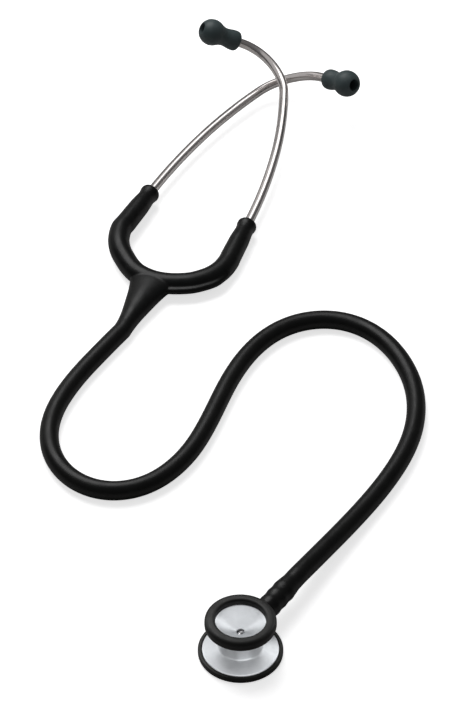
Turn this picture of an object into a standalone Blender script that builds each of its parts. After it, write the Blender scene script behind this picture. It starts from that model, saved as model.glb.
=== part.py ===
"""Acoustic stethoscope with a small double-sided chestpiece, lying flat with its ear tubes crossed.

Metres, +Z up. The origin is the centre of the diaphragm's face, which rests on the surface z = 0.
"""

import math

import bmesh
import bpy
import numpy as np
from mathutils import Matrix, Vector

MM = 0.001
GAP = 0.3 * MM

# Chestpiece: a turned double-sided head that stands on its diaphragm
RIM_RADIUS = 18.0 * MM
RIM_HEIGHT = 3.0 * MM
RIM_INNER_RADIUS = 16.5 * MM
RIM_LIP_RADIUS = 14.6 * MM
RIM_LIP_THICKNESS = 0.55 * MM
FLANGE_RADIUS = 16.2 * MM
FLANGE_UNDERSIDE = 1.8 * MM
WAIST_RADIUS = 9.25 * MM
WAIST_BOTTOM = 5.3 * MM
WAIST_TOP = 12.4 * MM
SOUND_HOLE_RADIUS = 1.7 * MM
CAVITY_TOP = 3.6 * MM
BELL_FLOOR = 12.9 * MM
BELL_LIP_RADIUS = 12.4 * MM
BELL_LIP = (16.9 * MM, 17.7 * MM)
BELL_RIM_RADIUS = 15.15 * MM
BELL_RIM_INNER_RADIUS = 10.66 * MM
BELL_RIM_FOOT_RADIUS = 11.4 * MM
BELL_RIM_HEIGHTS = (15.95 * MM, 20.8 * MM)
BELL_RIM_FILLET = 2.3 * MM
BELL_RIM_INNER_FILLET = 1.5 * MM
BELL_RIM_FOOT_FILLET = 0.5 * MM
DIAPHRAGM_FACE_RADIUS = 13.9 * MM
DIAPHRAGM_RADIUS = 16.1 * MM
DIAPHRAGM_THICKNESS = 0.4 * MM
DIAPHRAGM_STEP = 0.9 * MM

# Valve stem: it lies along STEM_AZIMUTH at STEM_HEIGHT, and its stations start at the chestpiece's axis
STEM_AZIMUTH = math.radians(56.3)
STEM_HEIGHT = 9.6 * MM
CUTTER_REACH = 13.0 * MM
VALVE_RADIUS = 2.6 * MM
VALVE_BORE_RADIUS = VALVE_RADIUS + GAP
VALVE_END = -4.0 * MM
SOUND_BORE_RADIUS = 1.2 * MM
SOUND_BORE_END = -1.6 * MM
PORT_RADIUS = 1.3 * MM
SEAL_STATION = 4.6 * MM
SEAL_MAJOR = 2.25 * MM
SEAL_MINOR = 0.35 * MM
SHOULDER_RADIUS = 3.4 * MM
SHOULDER = (5.7 * MM, 6.6 * MM)
NECK_RADIUS = 2.2 * MM
COLLAR_BORE_RADIUS = 4.0 * MM
COLLAR_RADIUS = 3.7 * MM
COLLAR = (6.9 * MM, 11.6 * MM)
NIPPLE_START = 12.0 * MM
NIPPLE_END = 35.2 * MM
BARB_STATIONS = [(17.25 + 5.25 * i) * MM for i in range(4)]
BARB_LENGTH = 4.0 * MM
BARB_RADIUS = 3.4 * MM
BARB_ROOT_RADIUS = 2.4 * MM

# Detent: a sprung ball on a line across the stem, in the waist
DETENT_STATION = 2.6 * MM
DETENT_GROOVE_RADIUS = 2.1 * MM
DETENT_GROOVE_HALF_WIDTH = 0.95 * MM
DETENT_BALL_RADIUS = 1.0 * MM
DETENT_BORE_RADIUS = DETENT_BALL_RADIUS + GAP
DETENT_SCREW_RADIUS = 1.4 * MM
DETENT_SCREW = (6.6 * MM, 8.4 * MM)
DETENT_HEX_RADIUS = 0.77 * MM
DETENT_HEX_DEPTH = 1.0 * MM
DETENT_WIRE_RADIUS = 0.13 * MM
DETENT_COIL_RADIUS = 0.72 * MM
DETENT_TURNS = 3

# Tubing, and its end stretched over the stem's barbs
TUBING_RADIUS = 4.335 * MM
TUBING_STEP = 11.0 * MM
CUFF = (14.5 * MM, 40.0 * MM)
CUFF_STRETCH = 0.6 * MM
CUFF_RIPPLE = 0.2 * MM
CUFF_BORE_RADIUS = BARB_RADIUS + GAP
# The tubing's route over the surface, from the yoke's trunk to the stem
TUBING_ROUTE = [
    (-57.9, 199.0, 4.45), (-65.3, 187.0, 4.36), (-72.5, 175.0, 4.36), (-79.0, 162.0, 4.36),
    (-84.2, 147.5, 4.36), (-86.1, 132.5, 4.36), (-83.6, 117.3, 4.36), (-76.5, 104.6, 4.36),
    (-66.8, 97.0, 4.36), (-56.3, 94.4, 4.36), (-45.8, 96.4, 4.36), (-36.2, 102.4, 4.36),
    (-27.8, 111.8, 4.36), (-20.8, 123.6, 4.36), (-15.3, 137.3, 4.36), (-10.5, 151.8, 4.36),
    (-5.7, 166.5, 4.36), (0.2, 180.6, 4.36), (7.6, 193.3, 4.36), (16.7, 203.4, 4.36),
    (27.1, 209.8, 4.36), (38.3, 212.2, 4.36), (49.4, 210.5, 4.36), (59.7, 204.4, 4.36),
    (68.4, 194.3, 4.36), (74.9, 181.2, 4.36), (79.0, 166.0, 4.36), (79.9, 149.7, 4.36),
    (77.7, 133.7, 4.36), (73.0, 118.9, 4.36), (66.9, 105.6, 4.36), (60.0, 93.1, 4.45),
    (52.6, 81.1, 4.8), (45.1, 69.3, 5.6), (37.6, 57.6, 6.8), (30.0, 45.6, 8.3),
]

# Binaural: its own frame has u across to the right and v forward, from the yoke's crotch to the ear tips
YOKE_CROTCH = (-41.0 * MM, 238.8 * MM)
YOKE_AZIMUTH = math.radians(21.5)
YOKE_HEIGHT = 5.4 * MM
ARM_RADIUS = 5.0 * MM
CROTCH_RADIUS = 5.15 * MM
CHANNEL_RADIUS = 1.9 * MM
CHANNEL_SIDES = 8
FLEX_STATION = 17.5 * MM
FLEX_CUP_RADIUS = CROTCH_RADIUS + GAP
# Each arm's route (u, v, height) from beside the crotch to its kink, then its socket's mouth
ARM_ROUTES = {
    "left": [(-8.0, 1.7, 5.45), (-13.6, 5.1, 5.6), (-18.2, 9.2, 6.0), (-22.8, 14.2, 6.5),
             (-26.4, 20.6, 7.0), (-28.45, 28.4, 7.2)],
    "right": [(8.0, 1.0, 5.4), (16.0, 4.4, 5.4), (20.6, 8.2, 5.4), (24.4, 12.9, 5.4),
              (26.9, 18.7, 5.4), (27.8, 25.4, 5.4)],
}
ARM_MOUTHS = {"left": (-26.4, 61.0, 6.72), "right": (26.3, 55.3, 6.3)}
ARM_START = 2.5 * MM
# The trunk's v, half width, half height and centre height, from the crotch to the tubing
TRUNK_SECTIONS = [
    (3.0, 8.0, 3.2, 5.4), (0.0, 10.2, 4.5, 5.4), (-3.0, 10.6, 4.9, 5.35), (-6.0, 9.6, 5.0, 5.3),
    (-10.0, 8.5, 5.05, 5.25), (-14.0, 7.6, 5.05, 5.2), (-18.0, 6.8, 5.0, 5.1),
    (-22.0, 6.0, 4.85, 4.95), (-26.0, 5.25, 4.7, 4.8), (-30.0, 4.7, 4.5, 4.6),
    (-34.0, 4.4, 4.38, 4.46),
]
# Radius of an arm at distances behind its socket's mouth: rounded lip, neck, then full section
ARM_OUTLINE = [
    (0.0, 4.2), (0.5, 4.7), (1.5, 4.9), (2.5, 4.8), (4.0, 4.45), (6.0, 4.35), (9.0, 4.6),
    (13.0, 4.9), (20.0, 5.0), (34.0, 5.2), (46.0, 5.2), (60.0, 5.1),
]
SOCKET_RADIUS = 2.6 * MM
SPRING_OFFSET = 3.25 * MM
SPRING_THICKNESS = 0.6 * MM
SPRING_HALF_WIDTH = 2.1 * MM
SPRING_REACH = 50.0 * MM

# Ear tubes: a long gentle bend in two radii, a tight bend in a plane tilted a little, a straight end
EAR_TUBE_RADIUS = 2.3 * MM
EAR_TUBE_WALL = 0.5 * MM
EAR_TUBE_INSERTION = 18.0 * MM
EAR_TUBE_LEAD = {"left": 1.8 * MM, "right": 2.6 * MM}
EAR_TUBE_BENDS = [
    (47.3 * MM, 350.0 * MM, 0.0),
    (47.3 * MM, 252.0 * MM, 0.0),
    (36.5 * MM, 22.0 * MM, math.radians(10.0)),
    (12.9 * MM, None, 0.0),
]
EAR_TUBE_ROLL = {"left": math.radians(10.0), "right": math.radians(22.6)}

# Ear tips and the fittings inside them, measured from each tip's rear face
EAR_TIP_OVERLAP = {"left": 7.3 * MM, "right": 9.3 * MM}
EAR_TIP_CANAL_RADIUS = 2.8 * MM
EAR_TIP_SOCKET_RADIUS = 3.5 * MM
EAR_TIP_OUTLINE = [
    (20.9, 3.0), (20.7, 3.6), (19.6, 4.9), (17.6, 6.15), (15.0, 6.65), (12.6, 6.2), (10.6, 5.25),
    (8.6, 4.65), (6.6, 4.65), (4.2, 5.05), (2.0, 5.15), (0.7, 4.8), (0.0, 4.0),
]
FITTING = (1.6 * MM, 9.6 * MM)
FITTING_RADIUS = 2.8 * MM
FITTING_RIB_RADIUS = 3.2 * MM
FITTING_RIBS = 2

ROUND_STEPS = 36
SMALL_STEPS = 18

BLACK_RUBBER = ((0.012, 0.013, 0.013), 0.42, 0.0)
SOFT_RUBBER = ((0.035, 0.048, 0.048), 0.55, 0.0)
POLISHED_STEEL = ((0.72, 0.71, 0.70), 0.16, 1.0)
SATIN_STEEL = ((0.62, 0.63, 0.64), 0.28, 1.0)
SPRING_STEEL = ((0.42, 0.42, 0.43), 0.35, 1.0)
SHEET_PLASTIC = ((0.86, 0.87, 0.86), 0.4, 0.0)


def clear_scene():
    for scene_object in list(bpy.data.objects):
        bpy.data.objects.remove(scene_object)


def new_collection(name, hidden):
    collection = bpy.data.collections.new(name)
    bpy.context.scene.collection.children.link(collection)
    collection.hide_render = hidden
    return collection


clear_scene()
PARTS = new_collection("stethoscope", False)
CUTTERS = new_collection("cutters", True)


# Shared helpers


def finish(piece, name, look):
    """Names a piece, gives it its own material and puts it with the parts."""
    piece.name = name
    colour, roughness, metallic = look
    material = bpy.data.materials.new(name)
    material.use_nodes = True
    shader = material.node_tree.nodes["Principled BSDF"]
    shader.inputs["Base Color"].default_value = (*colour, 1.0)
    shader.inputs["Roughness"].default_value = roughness
    shader.inputs["Metallic"].default_value = metallic
    piece.data.materials.clear()
    piece.data.materials.append(material)
    move_to(piece, PARTS)
    return piece


def move_to(piece, collection):
    for holder in list(piece.users_collection):
        holder.objects.unlink(piece)
    collection.objects.link(piece)


def helper(piece):
    """Marks a piece as a cutter or a guide, which is no part of the object."""
    piece.hide_render = True
    piece.display_type = "WIRE"
    move_to(piece, CUTTERS)
    return piece


def mesh_piece(name, mesh, matrix=None):
    piece = bpy.data.objects.new(name, mesh)
    PARTS.objects.link(piece)
    piece.matrix_world = matrix or Matrix.Identity(4)
    return piece


def smooth(mesh, angle=40.0):
    mesh.shade_smooth()
    mesh.set_sharp_from_angle(angle=math.radians(angle))


def turned(name, profile, matrix=None, steps=ROUND_STEPS, closed=False):
    """A Screw round local Z of a profile of (radius, height), which runs down its outer side."""
    mesh = bpy.data.meshes.new(name)
    count = len(profile)
    edges = [(i, i + 1) for i in range(count - 1)]
    if closed:
        edges.append((count - 1, 0))
    mesh.from_pydata([(radius, 0.0, height) for radius, height in profile], edges, [])
    piece = mesh_piece(name, mesh, matrix)
    screw = piece.modifiers.new("turn", "SCREW")
    screw.steps = steps
    screw.render_steps = steps
    screw.use_merge_vertices = True
    screw.merge_threshold = 1e-5
    screw.use_smooth_shade = True
    return piece


def rounded(corners, steps=5):
    """A closed profile from square corners (radius, height, fillet), each fillet drawn as an arc."""
    profile = []
    for i, (radius, height, fillet) in enumerate(corners):
        corner = np.array([radius, height])
        if not fillet:
            profile.append((radius, height))
            continue
        before = np.sign(np.array(corners[i - 1][:2]) - corner)
        after = np.sign(np.array(corners[(i + 1) % len(corners)][:2]) - corner)
        for angle in np.linspace(0.0, math.pi / 2, steps):
            inset = before * (1 - math.sin(angle)) + after * (1 - math.cos(angle))
            profile.append(tuple(corner + fillet * inset))
    return profile


def baked(piece):
    """The piece as one welded mesh object, with its modifiers applied."""
    bpy.context.view_layer.update()
    graph = bpy.context.evaluated_depsgraph_get()
    mesh = bpy.data.meshes.new_from_object(piece.evaluated_get(graph))
    shape = bmesh.new()
    shape.from_mesh(mesh)
    bmesh.ops.remove_doubles(shape, verts=shape.verts, dist=1e-6)
    bmesh.ops.recalc_face_normals(shape, faces=shape.faces)
    shape.to_mesh(mesh)
    shape.free()
    smooth(mesh)
    solid = mesh_piece(piece.name, mesh, piece.matrix_world.copy())
    bpy.data.objects.remove(piece)
    return solid


def tube(name, points, radii, sides=16, caps=True):
    """A bevelled POLY curve along points, its radius following radii, as a welded mesh."""
    curve = bpy.data.curves.new(name, "CURVE")
    curve.dimensions = "3D"
    curve.bevel_depth = 1.0
    curve.bevel_resolution = (sides - 4) // 2
    curve.use_fill_caps = caps
    spline = curve.splines.new("POLY")
    spline.points.add(len(points) - 1)
    for point, place, radius in zip(spline.points, points, radii):
        point.co = (*place, 1.0)
        point.radius = radius
    piece = bpy.data.objects.new(name, curve)
    PARTS.objects.link(piece)
    return baked(piece)


def rod(name, start, end, radius, sides=SMALL_STEPS):
    """A straight round bar between two points."""
    start, end = Vector(start), Vector(end)
    mesh = bpy.data.meshes.new(name)
    shape = bmesh.new()
    length = (end - start).length
    bmesh.ops.create_cone(
        shape, cap_ends=True, segments=sides, radius1=radius, radius2=radius, depth=length
    )
    turn = (end - start).to_track_quat("Z", "Y").to_matrix().to_4x4()
    shape.transform(Matrix.Translation((start + end) / 2) @ turn)
    shape.to_mesh(mesh)
    shape.free()
    return mesh_piece(name, mesh)


def boolean(piece, other, operation="DIFFERENCE"):
    modifier = piece.modifiers.new(other.name, "BOOLEAN")
    modifier.object = other
    modifier.operation = operation
    modifier.solver = "EXACT"
    helper(other)
    return piece


def smooth_route(points, step):
    """Points every step along a smooth curve through the given ones."""
    knots = [2 * points[0] - points[1], *points, 2 * points[-1] - points[-2]]
    dense = []
    for before, start, end, after in zip(knots, knots[1:], knots[2:], knots[3:]):
        for share in np.linspace(0.0, 1.0, 24, endpoint=False):
            slope_in, slope_out = (end - before) / 2, (after - start) / 2
            cube, square = share**3, share**2
            dense.append(
                (2 * cube - 3 * square + 1) * start
                + (cube - 2 * square + share) * slope_in
                + (3 * square - 2 * cube) * end
                + (cube - square) * slope_out
            )
    dense.append(points[-1])
    return resample(np.array(dense), step)


def stations(points):
    """Each point's distance along the route."""
    return np.concatenate([[0.0], np.cumsum(np.linalg.norm(np.diff(points, axis=0), axis=1))])


def at_stations(points, wanted):
    along = stations(points)
    return np.stack([np.interp(wanted, along, points[:, axis]) for axis in range(3)], axis=1)


def resample(points, step):
    length = stations(points)[-1]
    return at_stations(points, np.linspace(0.0, length, max(2, round(length / step) + 1)))


def pivot(name, place, pieces, parent=None):
    """An empty on a joint's axis, with its moving pieces as children."""
    empty = bpy.data.objects.new(name, None)
    PARTS.objects.link(empty)
    empty.location = place
    empty.empty_display_size = 0.01
    if parent:
        hang(empty, parent)
    for piece in pieces:
        hang(piece, empty)
    return empty


def hang(piece, parent):
    bpy.context.view_layer.update()
    piece.parent = parent
    piece.matrix_parent_inverse = parent.matrix_world.inverted()


# Chestpiece


def stem_matrix():
    """Local Z along the stem's axis from the chestpiece's axis outwards, local X to the stem's side."""
    along = Vector((math.cos(STEM_AZIMUTH), math.sin(STEM_AZIMUTH), 0.0))
    up = Vector((0.0, 0.0, 1.0))
    matrix = Matrix((up.cross(along), up, along)).transposed().to_4x4()
    matrix.translation = (0.0, 0.0, STEM_HEIGHT)
    return matrix


STEM = stem_matrix()


def on_stem(across, up, along):
    return STEM @ Vector((across, up, along))


def chestpiece_body():
    lip_bottom, lip_top = BELL_LIP
    profile = [
        (SOUND_HOLE_RADIUS, BELL_FLOOR),
        (4.5 * MM, 14.0 * MM),
        (7.5 * MM, 15.4 * MM),
        (9.6 * MM, 16.6 * MM),
        (11.0 * MM, lip_top - 0.1 * MM),
        (BELL_LIP_RADIUS, lip_top),
        (BELL_LIP_RADIUS, lip_bottom),
        (11.0 * MM, lip_bottom),
        (10.6 * MM, 15.9 * MM),
        (9.8 * MM, 13.7 * MM),
        (WAIST_RADIUS, WAIST_TOP),
        (WAIST_RADIUS, WAIST_BOTTOM + 0.5 * MM),
        (WAIST_RADIUS + 0.2 * MM, WAIST_BOTTOM + 0.1 * MM),
        (WAIST_RADIUS + 0.8 * MM, WAIST_BOTTOM - 0.2 * MM),
        (FLANGE_RADIUS - 0.4 * MM, RIM_HEIGHT + 0.1 * MM),
        (FLANGE_RADIUS, RIM_HEIGHT - 0.2 * MM),
        (FLANGE_RADIUS, FLANGE_UNDERSIDE),
        (RIM_LIP_RADIUS, FLANGE_UNDERSIDE),
        (RIM_LIP_RADIUS - 0.3 * MM, FLANGE_UNDERSIDE + 0.15 * MM),
        (SOUND_HOLE_RADIUS, CAVITY_TOP),
    ]
    body = turned("chestpiece_body", profile, closed=True)
    detent_start = DETENT_BALL_RADIUS * 2
    cuts = [
        ("valve_bore", (0, VALVE_END - GAP), (0, CUTTER_REACH), VALVE_BORE_RADIUS),
        ("collar_bore", (0, SHOULDER[0] - GAP), (0, CUTTER_REACH), COLLAR_BORE_RADIUS),
        ("detent_bore", (detent_start, DETENT_STATION), (CUTTER_REACH, DETENT_STATION),
         DETENT_BORE_RADIUS),
        ("detent_thread", (DETENT_SCREW[0] - GAP, DETENT_STATION), (CUTTER_REACH, DETENT_STATION),
         DETENT_SCREW_RADIUS + GAP),
    ]
    for name, start, end, radius in cuts:
        ends = [on_stem(across, 0, along) for across, along in (start, end)]
        boolean(body, rod(name, *ends, radius))
    return finish(body, "chestpiece_body", SATIN_STEEL)


def bell_rim():
    """A soft ring of rounded section, slotted from inside to grip the bell's lip."""
    slot_bottom, slot_top = BELL_LIP[0] - GAP, BELL_LIP[1] + GAP
    slot_radius = BELL_LIP_RADIUS + GAP
    bottom, top = BELL_RIM_HEIGHTS
    corners = [
        (BELL_RIM_INNER_RADIUS, slot_top, 0.0),
        (BELL_RIM_INNER_RADIUS, top, BELL_RIM_INNER_FILLET),
        (BELL_RIM_RADIUS, top, BELL_RIM_FILLET),
        (BELL_RIM_RADIUS, bottom, BELL_RIM_FILLET),
        (BELL_RIM_FOOT_RADIUS, bottom, BELL_RIM_FOOT_FILLET),
        (BELL_RIM_FOOT_RADIUS, slot_bottom, 0.0),
        (slot_radius, slot_bottom, 0.0),
        (slot_radius, slot_top, 0.0),
    ]
    return finish(turned("bell_rim", rounded(corners), closed=True), "bell_rim", BLACK_RUBBER)


def diaphragm():
    """A stepped disc: its face is flush with the rim, its edge floats above the rim's lip."""
    top = DIAPHRAGM_STEP + DIAPHRAGM_THICKNESS
    profile = [
        (0.0, DIAPHRAGM_THICKNESS),
        (DIAPHRAGM_FACE_RADIUS - 0.3 * MM, DIAPHRAGM_THICKNESS),
        (DIAPHRAGM_FACE_RADIUS + 0.3 * MM, top),
        (DIAPHRAGM_RADIUS, top),
        (DIAPHRAGM_RADIUS, DIAPHRAGM_STEP),
        (DIAPHRAGM_FACE_RADIUS + 0.6 * MM, DIAPHRAGM_STEP),
        (DIAPHRAGM_FACE_RADIUS, 0.0),
        (0.0, 0.0),
    ]
    return finish(turned("diaphragm", profile), "diaphragm", SHEET_PLASTIC)


def diaphragm_rim():
    profile = [
        (RIM_INNER_RADIUS, RIM_HEIGHT),
        (RIM_RADIUS - 0.8 * MM, RIM_HEIGHT),
        (RIM_RADIUS - 0.25 * MM, RIM_HEIGHT - 0.5 * MM),
        (RIM_RADIUS, RIM_HEIGHT / 2),
        (RIM_RADIUS - 0.25 * MM, 0.5 * MM),
        (RIM_RADIUS - 0.8 * MM, 0.0),
        (RIM_LIP_RADIUS, 0.0),
        (RIM_LIP_RADIUS - 0.1 * MM, RIM_LIP_THICKNESS / 2),
        (RIM_LIP_RADIUS, RIM_LIP_THICKNESS),
        (RIM_INNER_RADIUS, RIM_LIP_THICKNESS),
    ]
    return finish(turned("diaphragm_rim", profile, closed=True), "diaphragm_rim", BLACK_RUBBER)


def chest_stem():
    """Valve barrel, seal groove, shoulder, neck and barbed nipple, bored from the nipple's end."""
    groove = DETENT_GROOVE_HALF_WIDTH
    seal = SEAL_MINOR + GAP
    barbs = []
    for station in reversed(BARB_STATIONS):
        barbs += [
            (BARB_ROOT_RADIUS, station + BARB_LENGTH / 2),
            (BARB_RADIUS, station),
            (BARB_RADIUS, station - 0.4 * MM),
            (BARB_ROOT_RADIUS, station - 0.5 * MM),
        ]
    profile = [
        (0.0, SOUND_BORE_END),
        (SOUND_BORE_RADIUS, SOUND_BORE_END),
        (SOUND_BORE_RADIUS, NIPPLE_END),
        (BARB_ROOT_RADIUS - 0.3 * MM, NIPPLE_END),
        *barbs,
        (BARB_ROOT_RADIUS, NIPPLE_START + 0.2 * MM),
        (NECK_RADIUS, NIPPLE_START),
        (NECK_RADIUS, SHOULDER[1]),
        (SHOULDER_RADIUS, SHOULDER[1]),
        (SHOULDER_RADIUS, SHOULDER[0]),
        (VALVE_RADIUS, SHOULDER[0]),
        (VALVE_RADIUS, SEAL_STATION + seal),
        (SEAL_MAJOR - seal, SEAL_STATION + seal),
        (SEAL_MAJOR - seal, SEAL_STATION - seal),
        (VALVE_RADIUS, SEAL_STATION - seal),
        (VALVE_RADIUS, DETENT_STATION + groove),
        (DETENT_GROOVE_RADIUS, DETENT_STATION + groove * 0.8),
        (DETENT_GROOVE_RADIUS, DETENT_STATION - groove * 0.8),
        (VALVE_RADIUS, DETENT_STATION - groove),
        (VALVE_RADIUS, VALVE_END + 0.3 * MM),
        (VALVE_RADIUS - 0.3 * MM, VALVE_END),
        (0.0, VALVE_END),
    ]
    stem = turned("chest_stem", profile, STEM, SMALL_STEPS)
    boolean(stem, rod("port", on_stem(0, 0, 0), on_stem(0, -VALVE_RADIUS * 1.3, 0), PORT_RADIUS, 16))
    return finish(stem, "chest_stem", POLISHED_STEEL)


def stem_seal():
    profile = [
        (
            SEAL_MAJOR + SEAL_MINOR * math.cos(angle),
            SEAL_STATION + SEAL_MINOR * math.sin(angle),
        )
        for angle in np.linspace(math.pi, -math.pi, 8, endpoint=False)
    ]
    return finish(turned("stem_seal", profile, STEM, SMALL_STEPS, closed=True), "stem_seal", BLACK_RUBBER)


def stem_collar():
    start, end = COLLAR
    edge = 0.3 * MM
    profile = [
        (NECK_RADIUS + GAP, end),
        (COLLAR_RADIUS - 0.6 * MM - edge, end),
        (COLLAR_RADIUS - 0.6 * MM, end - edge),
        (COLLAR_RADIUS - 0.6 * MM, end - 1.5 * MM),
        (COLLAR_RADIUS, end - 1.7 * MM),
        (COLLAR_RADIUS, start),
        (NECK_RADIUS + GAP, start),
    ]
    collar = turned("stem_collar", profile, STEM, SMALL_STEPS, closed=True)
    return finish(collar, "stem_collar", POLISHED_STEEL)


def detent():
    """The ball, its coil spring and the set screw that backs it, on one line across the stem."""
    ball_place = DETENT_GROOVE_RADIUS + GAP + DETENT_BALL_RADIUS
    mesh = bpy.data.meshes.new("detent_ball")
    shape = bmesh.new()
    bmesh.ops.create_uvsphere(shape, u_segments=16, v_segments=10, radius=DETENT_BALL_RADIUS)
    shape.to_mesh(mesh)
    shape.free()
    smooth(mesh)
    place = Matrix.Translation(on_stem(ball_place, 0, DETENT_STATION))
    ball = finish(mesh_piece("detent_ball", mesh, place), "detent_ball", POLISHED_STEEL)

    start = ball_place + DETENT_BALL_RADIUS + GAP + DETENT_WIRE_RADIUS
    end = DETENT_SCREW[0] - GAP - DETENT_WIRE_RADIUS
    points = []
    for share in np.linspace(0.0, 1.0, DETENT_TURNS * 10 + 1):
        angle = 2 * math.pi * DETENT_TURNS * share
        offset = DETENT_COIL_RADIUS * math.cos(angle), DETENT_COIL_RADIUS * math.sin(angle)
        points.append(on_stem(start + (end - start) * share, offset[0], DETENT_STATION + offset[1]))
    radii = [DETENT_WIRE_RADIUS] * len(points)
    spring = finish(tube("detent_spring", points, radii, 6), "detent_spring", SPRING_STEEL)

    screw = rod(
        "detent_screw",
        on_stem(DETENT_SCREW[0], 0, DETENT_STATION),
        on_stem(DETENT_SCREW[1], 0, DETENT_STATION),
        DETENT_SCREW_RADIUS,
    )
    socket = rod(
        "hex_socket",
        on_stem(DETENT_SCREW[1] - DETENT_HEX_DEPTH, 0, DETENT_STATION),
        on_stem(DETENT_SCREW[1] + DETENT_HEX_DEPTH, 0, DETENT_STATION),
        DETENT_HEX_RADIUS,
        6,
    )
    finish(boolean(screw, socket), "detent_screw", SPRING_STEEL)
    return ball, spring, screw


# Tubing


def tubing():
    """A plain round tube from the yoke's trunk to the start of its stretched end."""
    last, _, _, last_height = TRUNK_SECTIONS[-1]
    start = binaural(0.0, last * MM - GAP, last_height * MM)
    route = [np.array(binaural(0.0, last * MM - 4.0 * MM, last_height * MM))]
    route += [np.array(point) * MM for point in TUBING_ROUTE]
    route.append(np.array(on_stem(0, 0, CUFF[1] + 4.0 * MM)))
    end = on_stem(0, 0, CUFF[1] + GAP)
    points = np.vstack([start, smooth_route(route, TUBING_STEP), end])
    cord = tube("tubing", points, [TUBING_RADIUS] * len(points), 12)
    return finish(cord, "tubing", BLACK_RUBBER)


def cuff_radius(station):
    """The tubing's radius over the nipple: stretched, with a soft ripple at each barb."""
    start, end = CUFF
    stretch = min(1.0, (end - station) / (5.5 * MM))
    stretch = stretch * stretch * (3 - 2 * stretch)
    ripple = sum(math.exp(-(((station - barb) / (1.5 * MM)) ** 2)) for barb in BARB_STATIONS)
    return TUBING_RADIUS + stretch * (CUFF_STRETCH + CUFF_RIPPLE * (ripple - 0.3))


def tubing_cuff():
    start, end = CUFF
    outside = [(cuff_radius(s), s) for s in np.linspace(end, start + 0.5 * MM, 19)]
    profile = [
        (SOUND_BORE_RADIUS + 0.8 * MM, end),
        *outside,
        (cuff_radius(start) - 0.4 * MM, start),
        (CUFF_BORE_RADIUS, start),
        (CUFF_BORE_RADIUS, NIPPLE_END + GAP),
        (SOUND_BORE_RADIUS + 0.8 * MM, NIPPLE_END + GAP),
    ]
    cuff = turned("tubing_cuff", profile, STEM, SMALL_STEPS, closed=True)
    return finish(cuff, "tubing_cuff", BLACK_RUBBER)


# Binaural


def binaural(across, forward, height):
    """A point given in the binaural's own frame."""
    sine, cosine = math.sin(YOKE_AZIMUTH), math.cos(YOKE_AZIMUTH)
    return Vector(
        (
            YOKE_CROTCH[0] + across * cosine + forward * sine,
            YOKE_CROTCH[1] - across * sine + forward * cosine,
            height,
        )
    )


def arm_points(side):
    """One arm's points from beside the crotch to its mouth, straight from the kink on."""
    bend = [np.array(binaural(*(value * MM for value in point))) for point in ARM_ROUTES[side]]
    mouth = np.array(binaural(*(value * MM for value in ARM_MOUTHS[side])))
    return bend + [bend[-1] + (mouth - bend[-1]) * share for share in (0.16, 0.4, 0.7, 1.0)]


YOKE_STEP = 0.5 * MM
YOKE_LINE = smooth_route(
    [
        *reversed(arm_points("left")),
        np.array(binaural(0.0, 0.0, YOKE_HEIGHT)),
        *arm_points("right"),
    ],
    YOKE_STEP,
)
YOKE_LENGTH = stations(YOKE_LINE)[-1]
CROTCH_AT = stations(YOKE_LINE)[
    np.linalg.norm(YOKE_LINE - np.array(binaural(0.0, 0.0, YOKE_HEIGHT)), axis=1).argmin()
]
MOUTH_AT = {"left": -CROTCH_AT, "right": YOKE_LENGTH - CROTCH_AT}


def on_yoke(wanted):
    """Points on the yoke's centre line, at distances from the crotch, negative to the left."""
    return at_stations(YOKE_LINE, np.asarray(wanted) + CROTCH_AT)


def heading(side):
    """The direction in which an arm's socket points."""
    outer, inner = on_yoke([MOUTH_AT[side], MOUTH_AT[side] * 0.9])
    return Vector(outer - inner).normalized()


def flex_point(side):
    sign = -1 if side == "left" else 1
    return on_yoke([sign * FLEX_STATION])[0]


def ribbon(name, half_width, thickness, extra):
    """A flat strip along the inner side of the yoke's centre line, standing on edge."""
    wanted = np.linspace(-SPRING_REACH - extra, SPRING_REACH + extra, 33)
    line = on_yoke(wanted)
    ahead = on_yoke(wanted + YOKE_STEP) - on_yoke(wanted - YOKE_STEP)
    mesh = bpy.data.meshes.new(name)
    shape = bmesh.new()
    rows = []
    for place, direction in zip(line, ahead):
        inward = Vector((0, 0, 1)).cross(Vector(direction)).normalized()
        centre = Vector(place) + inward * SPRING_OFFSET
        rows.append([shape.verts.new(centre + Vector((0, 0, rise))) for rise in (-half_width, half_width)])
    for (low, high), (next_low, next_high) in zip(rows, rows[1:]):
        shape.faces.new((low, next_low, next_high, high))
    shape.to_mesh(mesh)
    shape.free()
    strip = mesh_piece(name, mesh)
    solid = strip.modifiers.new("thickness", "SOLIDIFY")
    solid.thickness = thickness
    solid.offset = 0.0
    return baked(strip)


def loft(name, sections, sides=24):
    """Elliptical sections (centre, half width, half height) across the binaural's V axis, bridged."""
    sine, cosine = math.sin(YOKE_AZIMUTH), math.cos(YOKE_AZIMUTH)
    wide = Vector((cosine, -sine, 0.0))
    mesh = bpy.data.meshes.new(name)
    shape = bmesh.new()
    rings = []
    for centre, half_width, half_height in sections:
        ring = []
        for angle in np.linspace(0.0, 2 * math.pi, sides, endpoint=False):
            offset = wide * (half_width * math.cos(angle)) + Vector((0, 0, half_height * math.sin(angle)))
            ring.append(shape.verts.new(centre + offset))
        rings.append(ring)
    for ring, after in zip(rings, rings[1:]):
        for i in range(sides):
            j = (i + 1) % sides
            shape.faces.new((ring[i], ring[j], after[j], after[i]))
    shape.faces.new(rings[0])
    shape.faces.new(rings[-1])
    bmesh.ops.recalc_face_normals(shape, faces=shape.faces)
    shape.to_mesh(mesh)
    shape.free()
    smooth(mesh)
    return mesh_piece(name, mesh)


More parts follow.
